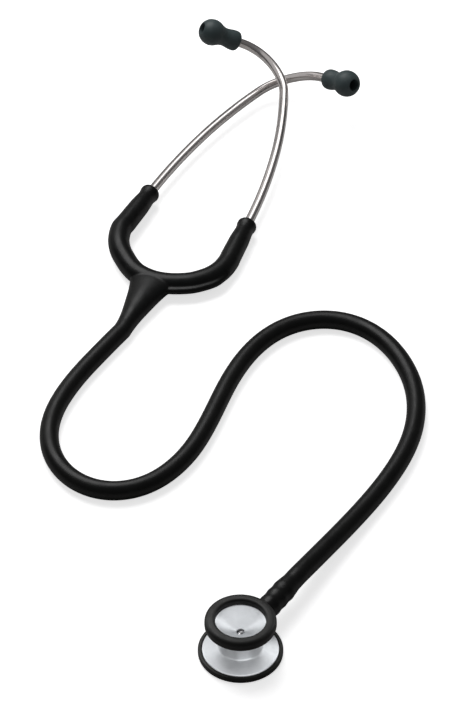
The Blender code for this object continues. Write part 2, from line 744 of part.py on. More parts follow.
def yoke_cutters():
    """The sound channel, the leaf spring's slot and the two sockets."""
    reach = np.linspace(MOUTH_AT["left"] + 1.0 * MM, MOUTH_AT["right"] - 1.0 * MM, 34)
    radii = [CHANNEL_RADIUS] * len(reach)
    channel = helper(tube("channel", on_yoke(reach), radii, CHANNEL_SIDES))
    slot = helper(ribbon("spring_slot", SPRING_HALF_WIDTH + GAP, SPRING_THICKNESS + 2 * GAP, GAP))
    sockets = {}
    for side in ("left", "right"):
        mouth = Vector(on_yoke([MOUTH_AT[side]])[0])
        direction = heading(side)
        depth = EAR_TUBE_INSERTION + GAP
        sockets[side] = helper(
            rod(f"socket_{side}", mouth - direction * depth, mouth + direction * 2 * MM, SOCKET_RADIUS)
        )
    return channel, slot, sockets


def yoke_crotch(channel, slot):
    """The fixed middle of the yoke: the U's bottom, round-ended at both flex points, and the trunk."""
    bend = np.linspace(0.0, math.radians(84.0), 8)
    end = [FLEX_STATION + CROTCH_RADIUS * math.sin(angle) for angle in bend]
    end_radii = [CROTCH_RADIUS * math.cos(angle) for angle in bend]
    middle = list(np.linspace(-FLEX_STATION, FLEX_STATION, 15)[1:-1])
    wanted = [-station for station in reversed(end)] + middle + end
    radii = [*reversed(end_radii), *[CROTCH_RADIUS] * len(middle), *end_radii]
    body = tube("yoke_crotch", on_yoke(wanted), radii)
    trunk = loft(
        "trunk",
        [
            (binaural(0.0, forward * MM, height * MM), half_width * MM, half_height * MM)
            for forward, half_width, half_height, height in TRUNK_SECTIONS
        ],
    )
    boolean(body, trunk, "UNION")
    boolean(body, channel)
    boolean(body, slot)
    last, _, _, last_height = TRUNK_SECTIONS[-1]
    duct = rod(
        "trunk_channel",
        binaural(0.0, 0.5 * MM, YOKE_HEIGHT),
        binaural(0.0, (last - 1.0) * MM, last_height * MM),
        CHANNEL_RADIUS,
        CHANNEL_SIDES,
    )
    boolean(body, duct)
    return finish(body, "yoke_crotch", BLACK_RUBBER)


def yoke_arm(side, channel, slot, socket):
    """One arm from its flex cup to its socket's flared mouth."""
    sign = -1 if side == "left" else 1
    distances = [value for value, _ in ARM_OUTLINE]
    outline = [value for _, value in ARM_OUTLINE]
    length = abs(MOUTH_AT[side]) - FLEX_STATION - ARM_START
    behind = [0.0, 0.5, 1.5, 2.5, 4.0, 6.0, 9.0, 13.0]
    behind += list(np.linspace(18.0, length / MM, round((length / MM - 18.0) / 3.2)))
    points = on_yoke([sign * (abs(MOUTH_AT[side]) - value * MM) for value in behind])
    arm = tube(f"yoke_arm_{side}", points, np.interp(behind, distances, outline) * MM)
    cup_mesh = bpy.data.meshes.new(f"cup_{side}")
    shape = bmesh.new()
    bmesh.ops.create_uvsphere(shape, u_segments=32, v_segments=20, radius=FLEX_CUP_RADIUS + 0.02 * MM)
    shape.to_mesh(cup_mesh)
    shape.free()
    cup = mesh_piece(f"cup_{side}", cup_mesh, Matrix.Translation(flex_point(side)))
    for cutter in (cup, channel, slot, socket):
        boolean(arm, cutter)
    return finish(arm, f"yoke_arm_{side}", BLACK_RUBBER)


def bent_path(start, direction, inward, bends):
    """Points along successive bends (length, radius or None, tilt of the bend's plane)."""
    points = [start.copy()]
    inward = (inward - direction * inward.dot(direction)).normalized()
    for length, radius, tilt in bends:
        step = min(8.0 * MM, radius * 0.13) if radius else 8.0 * MM
        count = max(1, round(length / step))
        up = direction.cross(inward) * (1 if direction.cross(inward).z > 0 else -1)
        towards = inward * math.cos(tilt) + up * math.sin(tilt)
        axis = direction.cross(towards)
        half = Matrix.Rotation(length / count / radius / 2 if radius else 0.0, 3, axis)
        for _ in range(count):
            direction = half @ direction
            points.append(points[-1] + direction * (length / count))
            direction = half @ direction
            inward = half @ (half @ inward)
    return points, direction


def ear_tube_path(side):
    """The ear tube's centre line from its end in the socket to its end in the ear tip."""
    direction = heading(side)
    across = Vector(binaural(1.0, 0.0, 0.0)) - Vector(binaural(0.0, 0.0, 0.0))
    inward = across if side == "left" else -across
    inward = (inward - direction * inward.dot(direction)).normalized()
    up = Vector((0, 0, 1)) - direction * direction.z
    roll = EAR_TUBE_ROLL[side]
    inward = inward * math.cos(roll) + up.normalized() * math.sin(roll)
    mouth = Vector(on_yoke([MOUTH_AT[side]])[0])
    start = mouth + direction * EAR_TUBE_LEAD[side]
    points, tangent = bent_path(start, direction, inward, EAR_TUBE_BENDS)
    inner = [mouth - direction * EAR_TUBE_INSERTION * share for share in (1.0, 0.5)]
    return inner + points, tangent


def ear_tube(side, points):
    """A bent steel tube: an open skin given its wall's thickness."""
    piece = tube(f"ear_tube_{side}", points, [EAR_TUBE_RADIUS] * len(points), 12, caps=False)
    wall = piece.modifiers.new("wall", "SOLIDIFY")
    wall.thickness = EAR_TUBE_WALL
    wall.offset = -1.0
    return finish(piece, f"ear_tube_{side}", POLISHED_STEEL)


def tip_matrix(side, tube_end, tangent):
    """Local Z along an ear tip's axis, from its rear face out."""
    turn = tangent.to_track_quat("Z", "Y").to_matrix().to_4x4()
    return Matrix.Translation(tube_end - tangent * EAR_TIP_OVERLAP[side]) @ turn


def ear_tube_fitting(side, place):
    start, end = FITTING
    pitch = (end - start) / FITTING_RIBS
    profile = [(EAR_TUBE_RADIUS + GAP, end)]
    for rib in range(FITTING_RIBS):
        top = end - rib * pitch
        profile += [
            (FITTING_RADIUS, top),
            (FITTING_RIB_RADIUS, top - pitch * 0.7),
            (FITTING_RIB_RADIUS, top - pitch * 0.85),
            (FITTING_RADIUS, top - pitch * 0.95),
        ]
    profile += [(FITTING_RADIUS, start), (EAR_TUBE_RADIUS + GAP, start)]
    name = f"ear_tube_fitting_{side}"
    return finish(turned(name, profile, place, SMALL_STEPS, closed=True), name, POLISHED_STEEL)


def ear_tip(side, place):
    """A soft mushroom with a sound canal, hollowed behind to grip the fitting."""
    start, end = FITTING
    profile = [(radius * MM, height * MM) for height, radius in EAR_TIP_OUTLINE]
    profile += [
        (EAR_TUBE_RADIUS + GAP, 0.0),
        (EAR_TUBE_RADIUS + GAP, start - GAP),
        (EAR_TIP_SOCKET_RADIUS, start - GAP),
        (EAR_TIP_SOCKET_RADIUS, end + GAP),
        (EAR_TIP_CANAL_RADIUS, end + 2 * GAP),
    ]
    name = f"ear_tip_{side}"
    return finish(turned(name, profile, place, 24, closed=True), name, SOFT_RUBBER)


def build_chestpiece():
    body = chestpiece_body()
    turning = [body, bell_rim(), diaphragm_rim(), stem_collar()]
    disc = diaphragm()
    chest_stem()
    stem_seal()
    ball, spring, screw = detent()
    turn = pivot("chestpiece_pivot", on_stem(0, 0, 0), [*turning, spring, screw])
    pivot("diaphragm_slide", (0.0, 0.0, 0.0), [disc], turn)
    pivot("detent_slide", ball.matrix_world.translation, [ball], turn)


def build_binaural():
    channel, slot, sockets = yoke_cutters()
    yoke_crotch(channel, slot)
    finish(ribbon("binaural_spring", SPRING_HALF_WIDTH, SPRING_THICKNESS, 0.0), "binaural_spring",
           SPRING_STEEL)
    for side in ("left", "right"):
        arm = yoke_arm(side, channel, slot, sockets[side])
        points, tangent = ear_tube_path(side)
        place = tip_matrix(side, points[-1], tangent)
        steel = [ear_tube(side, points), ear_tube_fitting(side, place)]
        tip = ear_tip(side, place)
        flex = pivot(f"arm_{side}_pivot", flex_point(side), [arm])
        twist = pivot(f"ear_tube_{side}_pivot", on_yoke([MOUTH_AT[side]])[0], steel, flex)
        pivot(f"ear_tip_{side}_pivot", place.translation, [tip], twist)


build_chestpiece()
tubing()
tubing_cuff()
build_binaural()
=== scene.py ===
"""Looks of the stethoscope: fine surfaces, procedural materials, soft studio light and the camera."""

import math

import bmesh
import bpy
import numpy as np
from mathutils import Matrix, Vector


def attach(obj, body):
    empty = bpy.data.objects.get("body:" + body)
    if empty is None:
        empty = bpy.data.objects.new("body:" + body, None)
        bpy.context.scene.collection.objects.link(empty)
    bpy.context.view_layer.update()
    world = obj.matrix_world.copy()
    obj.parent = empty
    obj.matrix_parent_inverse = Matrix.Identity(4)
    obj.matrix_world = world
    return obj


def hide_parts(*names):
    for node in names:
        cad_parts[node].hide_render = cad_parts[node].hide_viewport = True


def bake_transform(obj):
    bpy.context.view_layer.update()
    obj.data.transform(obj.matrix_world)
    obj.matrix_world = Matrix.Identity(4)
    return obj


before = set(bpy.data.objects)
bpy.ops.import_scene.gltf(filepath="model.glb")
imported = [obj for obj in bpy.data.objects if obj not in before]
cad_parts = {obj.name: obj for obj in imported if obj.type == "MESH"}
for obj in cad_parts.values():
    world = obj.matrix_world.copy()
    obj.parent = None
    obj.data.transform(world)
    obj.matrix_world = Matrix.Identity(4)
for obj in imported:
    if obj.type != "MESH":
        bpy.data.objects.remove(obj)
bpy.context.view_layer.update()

MM = 0.001
SHARP_ANGLE = 35.0


# Camera and view

CAMERA_PLACE = (-0.0019, -0.9987, 1.03033)
CAMERA_PITCH = math.radians(49.0)
CAMERA_LENS = 169.06


def make_camera():
    data = bpy.data.cameras.new("camera")
    data.lens = CAMERA_LENS
    data.sensor_width = 36.0
    data.clip_start = 0.01
    data.clip_end = 20.0
    camera = bpy.data.objects.new("camera", data)
    camera.location = CAMERA_PLACE
    camera.rotation_euler = (CAMERA_PITCH, 0.0, 0.0)
    bpy.context.scene.collection.objects.link(camera)
    bpy.context.scene.camera = camera


make_camera()
bpy.context.scene.view_settings.view_transform = "Standard"


# Mesh helpers


def link(piece):
    bpy.context.scene.collection.objects.link(piece)
    return piece


def piece_from(name, vertices, faces, angle=SHARP_ANGLE):
    """A linked object of those faces, smooth but for edges sharper than angle degrees."""
    mesh = bpy.data.meshes.new(name)
    mesh.from_pydata([tuple(v) for v in vertices], [], faces)
    mesh.validate()
    shape = bmesh.new()
    shape.from_mesh(mesh)
    bmesh.ops.remove_doubles(shape, verts=shape.verts, dist=2e-7)
    bmesh.ops.recalc_face_normals(shape, faces=shape.faces)
    shape.to_mesh(mesh)
    shape.free()
    mesh.shade_smooth()
    mesh.set_sharp_from_angle(angle=math.radians(angle))
    return link(bpy.data.objects.new(name, mesh))


def rounded(corners, steps=5):
    """A closed outline of (radius, height, fillet) corners in mm, as points in metres."""
    count = len(corners)
    outline = []
    for i, (r, z, fillet) in enumerate(corners):
        here = np.array([r, z])
        before = np.array(corners[i - 1][:2]) - here
        after = np.array(corners[(i + 1) % count][:2]) - here
        if not fillet:
            outline.append(here)
            continue
        length_in, length_out = np.linalg.norm(before), np.linalg.norm(after)
        before, after = before / length_in, after / length_out
        half = math.acos(max(-1.0, min(1.0, float(before @ after)))) / 2
        reach = min(fillet / math.tan(half), length_in * 0.48, length_out * 0.48)
        start, end = here + before * reach, here + after * reach
        for share in np.linspace(0.0, 1.0, steps):
            outline.append(
                (1 - share) ** 2 * start + 2 * share * (1 - share) * here + share**2 * end
            )
    return [(point[0] * MM, point[1] * MM) for point in outline]


def lathe(name, outline, matrix=None, steps=128):
    """A closed outline of (radius, height) turned round Z, then placed by matrix."""
    count = len(outline)
    vertices, faces = [], []
    for turn in range(steps):
        a = 2 * math.pi * turn / steps
        vertices += [(r * math.cos(a), r * math.sin(a), z) for r, z in outline]
    for turn in range(steps):
        first, second = turn * count, (turn + 1) % steps * count
        for i in range(count):
            j = (i + 1) % count
            if outline[i][0] < 1e-9 and outline[j][0] < 1e-9:
                continue
            faces.append((first + i, second + i, second + j, first + j))
    piece = piece_from(name, vertices, faces)
    if matrix is not None:
        piece.data.transform(matrix)
    return piece


def sweep(name, points, radii, sides, inner=None, angle=SHARP_ANGLE):
    """A round tube along points, closed at its ends, or hollow where inner gives the bore's radius."""
    points = np.array(points, float)
    ahead = np.gradient(points, axis=0)
    ahead /= np.linalg.norm(ahead, axis=1)[:, None]
    normal = np.cross(ahead[0], [0.0, 0.0, 1.0])
    rows = []
    for place, direction in zip(points, ahead):
        normal = normal - direction * (normal @ direction)
        normal /= np.linalg.norm(normal)
        rows.append((place, normal.copy(), np.cross(direction, normal)))
    circle = np.linspace(0.0, 2 * math.pi, sides, endpoint=False)
    layers = [radii] if inner is None else [radii, [inner] * len(points)]
    vertices = []
    for layer in layers:
        for (place, across, up), radius in zip(rows, layer):
            for a in circle:
                vertices.append(place + radius * (across * math.cos(a) + up * math.sin(a)))
    faces = []
    count = len(points)
    for layer in range(len(layers)):
        base = layer * count * sides
        for i in range(count - 1):
            for k in range(sides):
                m = (k + 1) % sides
                a, b = base + i * sides, base + (i + 1) * sides
                faces.append((a + k, a + m, b + m, b + k))
    if inner is None:
        faces.append(tuple(range(sides)))
        faces.append(tuple((count - 1) * sides + k for k in range(sides)))
    else:
        for i in (0, count - 1):
            a, b = i * sides, (count + i) * sides
            for k in range(sides):
                m = (k + 1) % sides
                faces.append((a + k, a + m, b + m, b + k))
    return piece_from(name, vertices, faces, angle)


def stations(points):
    """Distance of each point along the line from the first."""
    steps = np.linalg.norm(np.diff(points, axis=0), axis=1)
    return np.concatenate([[0.0], np.cumsum(steps)])


def at_stations(points, wanted):
    along = stations(points)
    return np.stack([np.interp(wanted, along, column) for column in points.T], axis=1)


def resample(points, step):
    length = stations(points)[-1]
    return at_stations(points, np.linspace(0.0, length, max(2, round(length / step) + 1)))


def smooth_route(points, step):
    """Points every step along a smooth curve through the given ones."""
    knots = [2 * points[0] - points[1], *points, 2 * points[-1] - points[-2]]
    dense = []
    for before, start, end, after in zip(knots, knots[1:], knots[2:], knots[3:]):
        for share in np.linspace(0.0, 1.0, 24, endpoint=False):
            slope_in, slope_out = (end - before) / 2, (after - start) / 2
            cube, square = share**3, share**2
            dense.append(
                (2 * cube - 3 * square + 1) * start
                + (cube - 2 * square + share) * slope_in
                + (3 * square - 2 * cube) * end
                + (cube - square) * slope_out
            )
    dense.append(points[-1])
    return resample(np.array(dense), step)


def relaxed(points, rounds):
    """Points pulled towards the middle of their neighbours, the ends held."""
    points = points.copy()
    for _ in range(rounds):
        points[2:-2] = (points[1:-3] + points[3:-1]) / 4 + points[2:-2] / 2
    return points


def applied(piece, modifiers):
    """The piece's mesh with its modifiers applied."""
    bpy.context.view_layer.update()
    graph = bpy.context.evaluated_depsgraph_get()
    mesh = bpy.data.meshes.new_from_object(piece.evaluated_get(graph))
    for modifier in modifiers:
        piece.modifiers.remove(modifier)
    old = piece.data
    piece.data = mesh
    bpy.data.meshes.remove(old)
    return piece


def cut(piece, cutters):
    """Cuts the cutters from the piece, applies the cuts and removes the cutters."""
    modifiers = []
    for cutter in cutters:
        modifier = piece.modifiers.new("cut", "BOOLEAN")
        modifier.object = cutter
        modifier.solver = "EXACT"
        modifiers.append(modifier)
    applied(piece, modifiers)
    for cutter in cutters:
        bpy.data.objects.remove(cutter)
    piece.data.shade_smooth()
    piece.data.set_sharp_from_angle(angle=math.radians(SHARP_ANGLE))
    return piece


def bar(name, start, end, radius, sides=48):
    """A straight round bar from start to end."""
    middle = (Vector(start) + Vector(end)) / 2
    return sweep(name, [Vector(start), middle, Vector(end)], [radius] * 3, sides)


# Materials

# A wave texture at scale 1 repeats at this distance.
WAVE_PITCH = 0.314
SOFT_DENTS = 0.05 * MM
RUBBER_GRAIN = 0.008 * MM
STEEL_MARKS = 0.0015 * MM
STEEL_GRAIN = 0.0008 * MM
WEAVE_PITCH = 0.6 * MM
WEAVE_DEPTH = 0.004 * MM


class Look:
    """A Principled material with small helpers for the nodes that give it detail."""

    def __init__(self, name, colour, roughness, metallic=0.0, **settings):
        self.material = bpy.data.materials.new(name)
        self.material.use_nodes = True
        self.nodes = self.material.node_tree.nodes
        self.links = self.material.node_tree.links
        self.shader = self.nodes["Principled BSDF"]
        self.shader.inputs["Base Color"].default_value = (*colour, 1.0)
        self.shader.inputs["Roughness"].default_value = roughness
        self.shader.inputs["Metallic"].default_value = metallic
        for key, value in settings.items():
            self.shader.inputs[key.replace("_", " ")].default_value = value
        self.place = self.nodes.new("ShaderNodeTexCoord").outputs["Object"]
        self.height = None

    def mapped(self, scale):
        mapping = self.nodes.new("ShaderNodeMapping")
        mapping.inputs["Scale"].default_value = scale
        self.links.new(self.place, mapping.inputs["Vector"])
        return mapping.outputs["Vector"]

    def noise(self, size, detail=4.0):
        """Noise whose features are about size metres across."""
        node = self.nodes.new("ShaderNodeTexNoise")
        node.inputs["Scale"].default_value = 1.0
        node.inputs["Detail"].default_value = detail
        node.inputs["Roughness"].default_value = 0.55
        self.links.new(self.mapped([1.0 / size] * 3), node.inputs["Vector"])
        return node.outputs["Fac"]

    def rings(self, pitch):
        """Turning marks: rings round the object's Z axis, pitch metres apart."""
        node = self.nodes.new("ShaderNodeTexWave")
        node.wave_type = "RINGS"
        node.rings_direction = "Z"
        node.inputs["Scale"].default_value = 1.0
        node.inputs["Distortion"].default_value = 0.4
        node.inputs["Detail"].default_value = 2.0
        self.links.new(self.mapped([WAVE_PITCH / pitch] * 3), node.inputs["Vector"])
        return node.outputs["Fac"]

    def ranged(self, value, low, high):
        """The middle of a noise's range, spread over low to high."""
        node = self.nodes.new("ShaderNodeMapRange")
        node.inputs["From Min"].default_value = 0.3
        node.inputs["From Max"].default_value = 0.7
        node.inputs["To Min"].default_value = low
        node.inputs["To Max"].default_value = high
        self.links.new(value, node.inputs["Value"])
        return node.outputs["Result"]

    def colour(self, value, first, second):
        """Mottles the base colour between two colours."""
        ramp = self.nodes.new("ShaderNodeValToRGB")
        for element, place, colour in zip(ramp.color_ramp.elements, (0.35, 0.65), (first, second)):
            element.position = place
            element.color = (*colour, 1.0)
        self.links.new(value, ramp.inputs["Fac"])
        self.links.new(ramp.outputs["Color"], self.shader.inputs["Base Color"])

    def roughness(self, value, low, high):
        self.links.new(self.ranged(value, low, high), self.shader.inputs["Roughness"])

    def bump(self, value, depth):
        """Adds a bump of that depth in metres on top of those before it."""
        node = self.nodes.new("ShaderNodeBump")
        node.inputs["Strength"].default_value = 1.0
        node.inputs["Distance"].default_value = depth
        self.links.new(value, node.inputs["Height"])
        if self.height is not None:
            self.links.new(self.height, node.inputs["Normal"])
        self.height = node.outputs["Normal"]
        self.links.new(self.height, self.shader.inputs["Normal"])


def rubber(name, dark, light, roughness, shine=0.27, grain=0.35 * MM):
    """Rubber or silicone with soft dents and a fine grain."""
    look = Look(name, dark, roughness, Specular_IOR_Level=shine)
    look.colour(look.noise(9 * MM, 3.0), dark, light)
    look.roughness(look.noise(5 * MM, 5.0), roughness - 0.05, roughness + 0.07)
    look.bump(look.noise(6 * MM, 2.0), SOFT_DENTS)
    look.bump(look.noise(grain, 3.0), RUBBER_GRAIN)
    return look.material


def steel(name, colour, roughness, rings=None, streaks=None, brushed=0.0, metallic=1.0):
    """Steel with fine wear. Brushed steel has its highlights drawn out across its turning marks."""
    look = Look(name, colour, roughness, metallic)
    worn = tuple(value * 0.9 for value in colour)
    look.colour(look.noise(7 * MM, 5.0), worn, colour)
    look.roughness(look.noise(1.2 * MM, 6.0), roughness * 0.85, roughness * 1.2)
    if rings:
        look.bump(look.rings(rings), STEEL_MARKS)
    if streaks:
        look.bump(look.noise(streaks, 3.0), STEEL_MARKS)
    if brushed:
        round_axis = look.nodes.new("ShaderNodeTangent")
        round_axis.direction_type = "RADIAL"
        round_axis.axis = "Z"
        look.links.new(round_axis.outputs["Tangent"], look.shader.inputs["Tangent"])
        look.shader.inputs["Anisotropic"].default_value = brushed
        look.shader.inputs["Anisotropic Rotation"].default_value = 0.25
    else:
        look.bump(look.noise(0.5 * MM, 5.0), STEEL_GRAIN)
    return look.material


YOKE_RUBBER = rubber("yoke_rubber", (0.0018, 0.0021, 0.0020), (0.0032, 0.0035, 0.0033), 0.36)
TUBING_RUBBER = rubber("tubing_rubber", (0.0022, 0.0024, 0.0022), (0.0040, 0.0043, 0.0038), 0.38)
RIM_RUBBER = rubber("rim_rubber", (0.0080, 0.0081, 0.0074), (0.0120, 0.0121, 0.0110), 0.46)
SEAL_RUBBER = rubber("seal_rubber", (0.006, 0.006, 0.006), (0.01, 0.01, 0.01), 0.5, grain=0.2 * MM)
DIAPHRAGM_RUBBER = rubber("diaphragm_rubber", (0.016, 0.017, 0.015), (0.024, 0.025, 0.022), 0.5)
TIP_SILICONE = rubber("tip_silicone", (0.044, 0.064, 0.067), (0.058, 0.080, 0.083), 0.5, 0.45, 0.25 * MM)
CHEST_STEEL = steel(
    "chestpiece_steel", (0.83, 0.845, 0.86), 0.38, rings=0.09 * MM, brushed=0.5, metallic=0.72
)
TUBE_STEEL = steel("ear_tube_steel", (0.84, 0.80, 0.785), 0.17)
STEM_STEEL = steel("stem_steel", (0.70, 0.70, 0.71), 0.16, streaks=0.6 * MM)
DETENT_STEEL = steel("detent_steel", (0.45, 0.45, 0.47), 0.28, streaks=0.4 * MM)
SPRING_STEEL = steel("spring_steel", (0.50, 0.50, 0.51), 0.26, streaks=0.5 * MM)


def sheet_plastic():
    """The diaphragm's pale sheet, with its fine weave."""
    look = Look("diaphragm_sheet", (0.80, 0.81, 0.78), 0.30)
    for direction in ("X", "Y"):
        weave = look.nodes.new("ShaderNodeTexWave")
        weave.bands_direction = direction
        weave.inputs["Scale"].default_value = 1.0
        look.links.new(look.mapped([WAVE_PITCH / WEAVE_PITCH] * 3), weave.inputs["Vector"])
        look.bump(weave.outputs["Fac"], WEAVE_DEPTH)
    look.colour(look.noise(3 * MM, 4.0), (0.74, 0.75, 0.71), (0.84, 0.85, 0.82))
    look.roughness(look.noise(2 * MM, 4.0), 0.24, 0.38)
    return look.material


DIAPHRAGM_SHEET = sheet_plastic()


def dress(piece, material, body=None, replaces=()):
    """Gives a piece its material and slot, the body that it rides and the nodes that it replaces."""
    piece.data.materials.clear()
    piece.data.materials.append(material)
    if body:
        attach(piece, body)
    if replaces:
        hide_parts(*replaces)
    return piece


# Frames of the stem and of the binaural, as the part's source has them

STEM_AZIMUTH = math.radians(56.3)
STEM_HEIGHT = 9.6 * MM
STEM_ALONG = Vector((math.cos(STEM_AZIMUTH), math.sin(STEM_AZIMUTH), 0.0))
STEM_ACROSS = Vector((0.0, 0.0, 1.0)).cross(STEM_ALONG)


def on_stem(across, up, along):
    """A point of the stem's own frame, given in metres."""
    place = STEM_ACROSS * across + Vector((0.0, 0.0, up)) + STEM_ALONG * along
    return place + Vector((0.0, 0.0, STEM_HEIGHT))


STEM = Matrix(
    (
        (STEM_ACROSS.x, 0.0, STEM_ALONG.x, 0.0),
        (STEM_ACROSS.y, 0.0, STEM_ALONG.y, 0.0),
        (0.0, 1.0, 0.0, STEM_HEIGHT),
        (0.0, 0.0, 0.0, 1.0),
    )
)

YOKE_CROTCH = (-41.0 * MM, 238.8 * MM)
YOKE_AZIMUTH = math.radians(21.5)
CROTCH_HEIGHT = 5.4
ACROSS = Vector((math.cos(YOKE_AZIMUTH), -math.sin(YOKE_AZIMUTH), 0.0))
FORWARD = Vector((math.sin(YOKE_AZIMUTH), math.cos(YOKE_AZIMUTH), 0.0))


def binaural(across, forward, height):
    """A point of the binaural's own frame, given in mm."""
    place = Vector((YOKE_CROTCH[0], YOKE_CROTCH[1], height * MM))
    return place + ACROSS * (across * MM) + FORWARD * (forward * MM)


# Tubing: one cord from the yoke's trunk to the stem's neck, its last stretch swollen over the barbs

TUBING_RADIUS = 4.335 * MM
TUBING_STEP = 1.5 * MM
TUBING_LEAD = 4.0
STRETCH_LENGTH = 5.5 * MM
STRETCH = 0.55
RIPPLE = 0.26
RIPPLE_SPREAD = 1.5 * MM
# The mouth of the stretched end is rounded over, then turns in to the stem's neck: (further, inwards).
LIP = [(0.10, -0.02), (0.35, -0.12), (0.80, -0.45)]
TRUNK_END = (-34.0, 4.46)
TUBING_START = -29.0
CUFF = (14.5 * MM, 40.0 * MM)
BARB_STATIONS = [(17.25 + 5.25 * i) * MM for i in range(4)]
TUBING_ROUTE = [
    (-57.9, 199.0, 4.45), (-65.3, 187.0, 4.36), (-72.5, 175.0, 4.36), (-79.0, 162.0, 4.36),
    (-84.2, 147.5, 4.36), (-86.1, 132.5, 4.36), (-83.6, 117.3, 4.36), (-76.5, 104.6, 4.36),
    (-66.8, 97.0, 4.36), (-56.3, 94.4, 4.36), (-45.8, 96.4, 4.36), (-36.2, 102.4, 4.36),
    (-27.8, 111.8, 4.36), (-20.8, 123.6, 4.36), (-15.3, 137.3, 4.36), (-10.5, 151.8, 4.36),
    (-5.7, 166.5, 4.36), (0.2, 180.6, 4.36), (7.6, 193.3, 4.36), (16.7, 203.4, 4.36),
    (27.1, 209.8, 4.36), (38.3, 212.2, 4.36), (49.4, 210.5, 4.36), (59.7, 204.4, 4.36),
    (68.4, 194.3, 4.36), (74.9, 181.2, 4.36), (79.0, 166.0, 4.36), (79.9, 149.7, 4.36),
    (77.7, 133.7, 4.36), (73.0, 118.9, 4.36), (66.9, 105.6, 4.36), (60.0, 93.1, 4.45),
    (52.6, 81.1, 4.8), (45.1, 69.3, 5.6), (37.6, 57.6, 6.8), (30.0, 45.6, 8.3),
]


def cuff_radius(station):
    """The tubing's radius over the nipple: stretched, with a soft ripple at each barb."""
    start, end = CUFF
    stretch = min(1.0, max(0.0, (end - station) / STRETCH_LENGTH))
    stretch = stretch * stretch * (3 - 2 * stretch)
    ripple = sum(math.exp(-(((station - barb) / RIPPLE_SPREAD) ** 2)) for barb in BARB_STATIONS)
    return TUBING_RADIUS + stretch * (STRETCH + RIPPLE * (ripple - 0.3)) * MM


def make_tubing():
    """Centreline and mesh of the whole tubing, from inside the trunk to the end over the barbs."""
    last, last_height = TRUNK_END
    start = np.array(binaural(0.0, TUBING_START, last_height))
    route = [np.array(binaural(0.0, last - TUBING_LEAD, last_height))]
    route += [np.array(point) * MM for point in TUBING_ROUTE]
    route.append(np.array(on_stem(0, 0, CUFF[1] + TUBING_LEAD * MM)))
    end = np.array(on_stem(0, 0, CUFF[0]))
    middle = relaxed(smooth_route(route, TUBING_STEP), 30)
    straight = [np.array(on_stem(0, 0, s)) for s in np.linspace(CUFF[1] + 3.5 * MM, CUFF[0], 60)]
    line = np.vstack([start, middle, straight[:-1], end])
    along = stations(line)
    length = along[-1]
    radii = [
        cuff_radius(CUFF[0] + length - value) if length - value < CUFF[1] else TUBING_RADIUS
        for value in along
    ]
    ends = [end - np.array(STEM_ALONG) * forward * MM for forward, _ in LIP]
    line = np.vstack([line, ends])
    radii += [radii[-1] + drop * MM for _, drop in LIP]
    cord = sweep("tubing_cord", line, radii, 40, angle=60.0)
    dress(cord, TUBING_RUBBER, "yoke", ("tubing", "tubing_cuff"))


make_tubing()


# Chestpiece

# Bores as (start, end, radius) in mm, along the stem or across it at the detent
VALVE_BORE = (-4.3, 10.0, 2.9)
COLLAR_BORE = (5.4, 13.0, 4.0)
BALL_BORE = (2.0, 12.0, 1.3)
SCREW_BORE = (6.3, 12.0, 1.7)
DETENT_STATION = 2.6 * MM
TURNED_STEPS = 160


def bore_along(name, start, end, radius, sides=48):
    return bar(name, on_stem(0, 0, start * MM), on_stem(0, 0, end * MM), radius * MM, sides)


def bore_across(name, start, end, radius):
    first, last = on_stem(start * MM, 0, DETENT_STATION), on_stem(end * MM, 0, DETENT_STATION)
    return bar(name, first, last, radius * MM)


def make_turned_body():
    """Bell, waist and flange in one turned piece, bored for the valve, its collar and the detent."""
    body = lathe(
        "chestpiece_shell",
        rounded(
            [
                (1.7, 12.9, 0.25), (4.5, 14.0, 3.0), (7.5, 15.4, 3.0), (9.6, 16.6, 3.0),
                (11.0, 17.6, 1.2), (12.4, 17.7, 0.15), (12.4, 16.9, 0.15), (11.0, 16.9, 0.2),
                (10.6, 15.9, 0.8), (9.8, 13.7, 1.6), (9.25, 12.4, 0.9), (9.25, 5.75, 0.25),
                (9.5, 5.45, 0.2), (9.65, 5.2, 0.5), (10.6, 4.85, 1.2), (15.7, 3.15, 0.8),
                (16.2, 2.8, 0.3), (16.2, 1.8, 0.1), (14.6, 1.8, 0.1), (14.3, 1.95, 0.2),
                (1.7, 3.6, 0.2),
            ]
        ),
        steps=TURNED_STEPS,
    )
    cutters = [
        bore_along("valve_cut", *VALVE_BORE),
        bore_along("collar_cut", *COLLAR_BORE, 64),
        bore_across("ball_cut", *BALL_BORE),
        bore_across("screw_cut", *SCREW_BORE),
    ]
    cut(body, cutters)
    dress(body, CHEST_STEEL, "chestpiece", ["chestpiece_body"])


def make_rims():
    """The rubber ring on the bell, and the rubber rim that holds the diaphragm."""
    ring = rounded(
        [
            (10.66, 18.0, 0.1), (10.66, 20.9, 1.5), (15.15, 20.75, 2.3), (15.15, 15.95, 2.3),
            (11.8, 15.95, 0.8), (11.32, 16.6, 0.1), (12.7, 16.6, 0), (12.7, 18.0, 0),
        ],
        13,
    )
    rim = lathe("bell_ring", ring, steps=TURNED_STEPS)
    dress(rim, RIM_RUBBER, "chestpiece", ["bell_rim"])

    rim = lathe(
        "diaphragm_ring",
        rounded(
            [
                (16.5, 3.0, 0.25), (18.0, 3.0, 1.35), (18.0, 0.0, 1.35), (14.6, 0.0, 0.2),
                (14.6, 0.55, 0.2), (16.5, 0.55, 0.1),
            ],
            9,
        ),
        steps=TURNED_STEPS,
    )
    dress(rim, DIAPHRAGM_RUBBER, "chestpiece", ["diaphragm_rim"])


